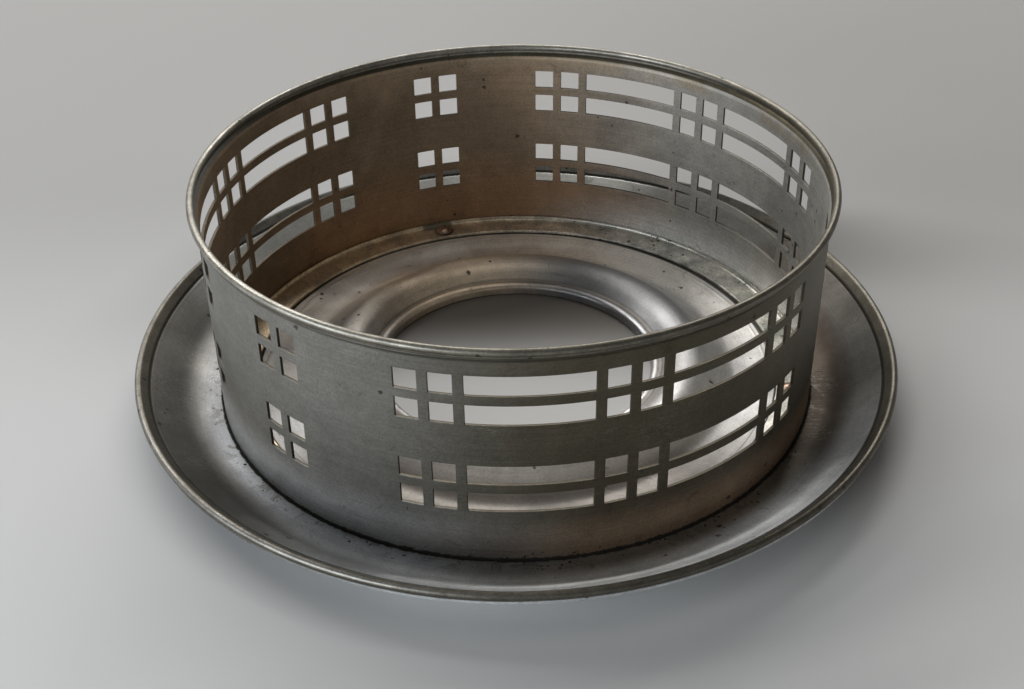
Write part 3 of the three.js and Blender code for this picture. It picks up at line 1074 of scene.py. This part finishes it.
def pierce_and_roll_group(sizes, material):
    """Drops the marked openings, rolls the strip into a flared ring and gives it its thickness."""
    group, tree, given, result = new_geometry_group("pierce_and_roll", sizes)
    flare_curve = 1.6
    marked = tree.add("GeometryNodeInputNamedAttribute", {"Name": "opening"}, data_type="BOOLEAN")
    pierced = tree.add(
        "GeometryNodeDeleteGeometry",
        {"Geometry": given["Geometry"], "Selection": marked.outputs["Attribute"]},
        domain="FACE",
    ).outputs[0]

    place = tree.split(tree.add("GeometryNodeInputPosition").outputs[0])
    share = tree.add(
        "ShaderNodeMapRange",
        {"Value": place["Z"], "From Min": given["Flare Start"], "From Max": given["Flare Top"]},
    ).outputs["Result"]
    flare = tree.times(tree.math("POWER", share, flare_curve), given["Flare Width"])
    radius = tree.math("ADD", given["Ring Radius"], flare)
    rolled_place = tree.add("ShaderNodeCombineXYZ", {
        "X": tree.times(radius, tree.math("COSINE", place["X"])),
        "Y": tree.times(radius, tree.math("SINE", place["X"])),
        "Z": place["Z"],
    }).outputs[0]
    rolled = tree.add("GeometryNodeSetPosition", {"Geometry": pierced, "Position": rolled_place}).outputs[0]
    closed = merged(tree, rolled)

    turned_in = tree.add("GeometryNodeFlipFaces", {"Mesh": closed}).outputs[0]
    thickened = tree.add(
        "GeometryNodeExtrudeMesh",
        {"Mesh": turned_in, "Offset Scale": given["Sheet"], "Individual": False},
        mode="FACES",
    ).outputs[0]
    both = tree.add("GeometryNodeJoinGeometry")
    tree.put(thickened, both.inputs[0])
    tree.put(closed, both.inputs[0])
    put_out(tree, merged(tree, both.outputs[0]), material, result)
    return group


def merged(tree, geometry):
    """Joins the points that lie within a hundredth of a millimetre."""
    return tree.add("GeometryNodeMergeByDistance", {"Geometry": geometry, "Distance": 0.01 * MM}).outputs[0]


def put_out(tree, geometry, material, result):
    """Ends a geometry tree: instances become real and everything gets the material."""
    realized = tree.add("GeometryNodeRealizeInstances", {"Geometry": geometry}).outputs[0]
    coated = tree.add("GeometryNodeSetMaterial", {"Geometry": realized, "Material": material}).outputs[0]
    tree.put(coated, result[0])


def run_group(piece, group, sizes):
    """Runs a geometry node group on a piece, with its sizes."""
    modifier = piece.modifiers.new(group.name, "NODES")
    modifier.node_group = group
    sockets = {item.name: item.identifier for item in group.interface.items_tree if item.in_out == "INPUT"}
    for label, value in sizes.items():
        modifier[sockets[label]] = value


def gallery_wall():
    material = gallery_wall_metal()
    piece = flat_gallery_sheet("pierced_gallery")
    sizes = {
        "Ring Radius": GALLERY_RADIUS * MM,
        "Sheet": GALLERY_SHEET * MM,
        "Flare Start": FLARE_START * MM,
        "Flare Top": FLARE_TOP * MM,
        "Flare Width": FLARE_WIDTH * MM,
    }
    run_group(piece, pierce_and_roll_group(sizes, material), sizes)
    bevel = piece.modifiers.new("worn edges", "BEVEL")
    bevel.width = WORN_EDGE * MM
    bevel.segments = 2
    bevel.limit_method = "ANGLE"
    bevel.angle_limit = math.radians(50)
    bake_modifiers(piece)
    shade_by_area(piece, sharp_angle=60)
    finish_piece(piece, material, "gallery_wall", "gallery_wall")


def rivet_profile():
    """One rivet from its tail up, left open on the axis."""
    head_bottom = FLANGE_TOP + RIVET_CLEARANCE
    tail_top = SEAT_HEIGHT - BASE_SHEET - RIVET_CLEARANCE
    dome_radius = (RIVET_HEAD_RADIUS ** 2 + RIVET_HEAD_HEIGHT ** 2) / (2 * RIVET_HEAD_HEIGHT)
    edge = math.degrees(math.acos(RIVET_HEAD_RADIUS / dome_radius))
    crown = head_bottom + RIVET_HEAD_HEIGHT
    points = [
        Vector((RIVET_TAIL_RADIUS - RIVET_CHAMFER, RIVET_TAIL_BOTTOM)),
        Vector((RIVET_TAIL_RADIUS, RIVET_TAIL_BOTTOM + RIVET_CHAMFER)),
        Vector((RIVET_TAIL_RADIUS, tail_top)),
        Vector((RIVET_SHANK_RADIUS, tail_top)),
        Vector((RIVET_SHANK_RADIUS, head_bottom)),
    ]
    return points + arc_points(0, crown - dome_radius, dome_radius, start=edge, end=86, steps=8)


def rivet_circle_group(sizes, material):
    """Sets the rivet that it is given at even steps round a circle."""
    group, tree, given, result = new_geometry_group("rivets_on_circle", sizes)
    circle = tree.add(
        "GeometryNodeMeshCircle", {"Vertices": given["Rivets"], "Radius": given["Circle Radius"]},
    ).outputs[0]
    turn = tree.add("ShaderNodeCombineXYZ", {"Z": given["First Angle"]}).outputs[0]
    places = tree.add("GeometryNodeTransform", {"Geometry": circle, "Rotation": turn}).outputs[0]
    placed = tree.add(
        "GeometryNodeInstanceOnPoints", {"Points": places, "Instance": given["Geometry"]},
    ).outputs[0]
    put_out(tree, placed, material, result)
    return group


def rivets():
    material = copper_metal()
    piece = turned("rivets", rivet_profile(), steps=RIVET_STEPS, closed=False)
    sizes = {
        "Rivets": RIVET_COUNT,
        "Circle Radius": RIVET_CIRCLE * MM,
        "First Angle": math.radians(RIVET_FIRST_ANGLE),
    }
    run_group(piece, rivet_circle_group(sizes, material), sizes)
    bake_modifiers(piece)
    shade_by_area(piece, sharp_angle=35)
    finish_piece(piece, material, "rivet", "rivet_1", "rivet_2", "rivet_3")


# Studio, in metres.

def plain_material(name, roughness):
    material = bpy.data.materials.new(name)
    material.use_nodes = True
    tree = Tree(material.node_tree.nodes, material.node_tree.links)
    shader = material.node_tree.nodes["Principled BSDF"]
    shader.inputs["Roughness"].default_value = roughness
    return material, tree, shader.inputs["Base Color"]


def table_top():
    size = 4
    corners = [(-size, -size, 0), (size, -size, 0), (size, size, 0), (-size, size, 0)]
    table = mesh_object("table_top", corners, [(0, 1, 2, 3)])
    material, tree, color_socket = plain_material("pale_table", roughness=0.8)
    place = tree.split(tree.add("ShaderNodeTexCoord").outputs["Object"])
    # The table is painted darker towards the back, painted shade, and a painted shadow darkens it inside the
    # base's hole, deepest at the back.
    color = tree.mix(tree.ramp(place["Y"], -0.04, 0.13), TABLE_FRONT, TABLE_BACK_SHADE)
    shadow_radius = 0.05
    shadow_fade_radius = 0.055
    radius_squared = tree.math("ADD", tree.times(place["X"], place["X"]), tree.times(place["Y"], place["Y"]))
    in_hole = tree.falling(radius_squared, shadow_radius ** 2, shadow_fade_radius ** 2)
    hole_shadow = tree.times(in_hole, tree.ramp(place["Y"], -0.012, 0.032, high=0.93))
    tree.put(tree.mix(hole_shadow, color, TABLE_HOLE_SHADOW), color_socket)
    table.data.materials.append(material)


def card_behind():
    """A pale card behind the object, out of the picture: it keeps the window light out of the openings."""
    half_width = 0.1
    away = 0.122
    bottom = 0.036
    top = 0.09
    corners = [
        (-half_width, away, bottom),
        (half_width, away, bottom),
        (half_width, away, top),
        (-half_width, away, top),
    ]
    card = mesh_object("card_behind", corners, [(0, 1, 2, 3)])
    material, tree, color_socket = plain_material("pale_card", roughness=0.9)
    tree.put(CARD_PALE, color_socket)
    card.data.materials.append(material)
    card.visible_camera = False


def world_light():
    """A plain room: pale walls, dimmest at the front, a darker band above and a soft glow overhead."""
    world = bpy.data.worlds.new("studio")
    bpy.context.scene.world = world
    world.use_nodes = True
    tree = Tree(world.node_tree.nodes, world.node_tree.links)
    background = world.node_tree.nodes["Background"]
    direction = tree.split(tree.add("ShaderNodeTexCoord").outputs["Generated"])
    walls = tree.ramp(direction["Z"], 0.3, 0.6, low=0.24, high=0.05)
    towards_back = tree.ramp(direction["Y"], -1.0, 0.2, low=0.7)
    ceiling = tree.ramp(direction["Z"], 0.91, 0.98, high=0.6)
    level = tree.math("ADD", tree.times(walls, towards_back), ceiling)
    tree.put(ROOM_LIGHT, background.inputs["Color"])
    tree.put(level, background.inputs["Strength"])


def lamp(name, azimuth, elevation, distance, size, power, color):
    """A rectangular soft lamp that looks at the middle of the object."""
    data = bpy.data.lights.new(name, "AREA")
    data.shape = "RECTANGLE"
    data.size, data.size_y = size
    data.energy = power
    data.color = color
    window = add_object(name, data)
    turn = math.radians(azimuth)
    rise = math.radians(elevation)
    target = Vector((0, 0, 0.03))
    away = Vector((math.cos(turn) * math.cos(rise), math.sin(turn) * math.cos(rise), math.sin(rise)))
    window.location = target + away * distance
    window.rotation_mode = "QUATERNION"
    window.rotation_quaternion = away.to_track_quat("Z", "Y")
    window.visible_camera = False


def studio_lamps():
    lamp(
        "window_behind", azimuth=108, elevation=44, distance=2.2,
        size=(3.0, 0.42), power=46.0, color=WARM_WINDOW,
    )
    lamp(
        "window_left", azimuth=222, elevation=14, distance=0.9,
        size=(0.7, 0.3), power=5.9, color=COOL_WINDOW,
    )


def photo_camera():
    data = bpy.data.cameras.new("photo_camera")
    data.sensor_width = SENSOR_WIDTH
    data.lens = FOCAL_PIXELS / PHOTO_WIDTH * SENSOR_WIDTH
    data.clip_start = 0.01
    data.clip_end = 50
    camera = add_object("photo_camera", data)
    forward = Vector((
        math.sin(CAMERA_PAN) * math.cos(CAMERA_PITCH),
        math.cos(CAMERA_PAN) * math.cos(CAMERA_PITCH),
        -math.sin(CAMERA_PITCH),
    ))
    level = forward.cross(Vector((0, 0, 1))).normalized()
    upright = level.cross(forward)
    right = level * math.cos(CAMERA_ROLL) + upright * math.sin(CAMERA_ROLL)
    up = upright * math.cos(CAMERA_ROLL) - level * math.sin(CAMERA_ROLL)
    turn = Matrix((right, up, -forward)).transposed().to_4x4()
    camera.matrix_world = Matrix.Translation(Vector(CAMERA_PLACE) * MM) @ turn
    bpy.context.scene.camera = camera


base_plate()
base_rim_wire()
gallery_wall()
gallery_rim_ring()
gallery_foot_ring()
rivets()
table_top()
card_behind()
world_light()
studio_lamps()
photo_camera()
bpy.context.scene.view_settings.view_transform = "Standard"
